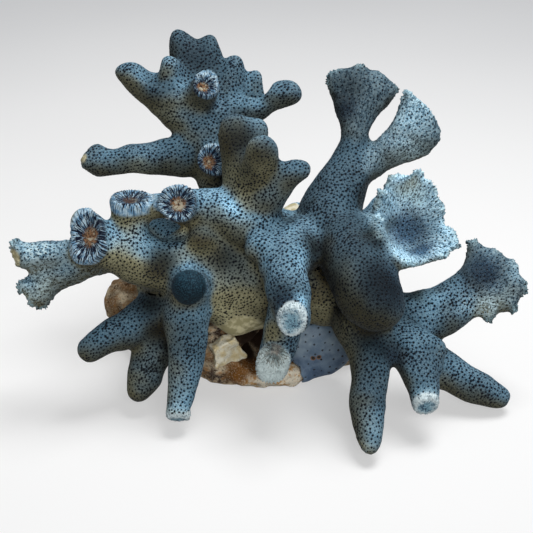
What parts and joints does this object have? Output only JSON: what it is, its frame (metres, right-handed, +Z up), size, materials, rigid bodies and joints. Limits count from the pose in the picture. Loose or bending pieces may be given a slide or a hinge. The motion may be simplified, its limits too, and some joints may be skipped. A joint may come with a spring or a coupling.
{
  "type": "blue coral colony",
  "caption": "Branching blue coral with blunt fingers, open-ended tips and ruffled fans, grown on a weathered stone cut flat underneath",
  "frame": {"origin": "the middle of the flat cut that the stone rests on", "axes": "+Z up out of the flat cut, -Y the side the colony faces, +X to the right seen from that side"},
  "size_m": [0.1801, 0.1214, 0.1132],
  "materials": {
    "coral": "matte",
    "coral_crust": "satin",
    "matrix_stone": "matte",
    "shell": "satin"
  },
  "bodies": {
    "root": {"stone": "matrix_stone", "blue_crust": "coral_crust", "shell_chip": "shell", "trunk": "coral", "crown_stem": "coral", "crown_left_arm": "coral", "crown_left_frond": "coral", "crown_back_lobes": "coral", "crown_right_fingers": "coral", "centre_finger": "coral", "centre_side_finger": "coral", "upper_arm": "coral", "left_arm": "coral", "left_arm_end": "coral", "left_fork_tip": "coral", "low_left_finger": "coral", "low_middle_finger": "coral", "front_left_finger": "coral", "front_finger": "coral", "fan_stem": "coral", "tall_fan": "coral", "side_fan": "coral", "cup_fan": "coral", "club": "coral", "right_arm": "coral", "right_fan": "coral", "low_right_finger": "coral", "low_far_finger": "coral", "front_right_finger": "coral", "back_left_branch": "coral", "back_middle_branch": "coral", "back_right_branch": "coral", "back_low_branch": "coral"}
  },
  "joints": []
}
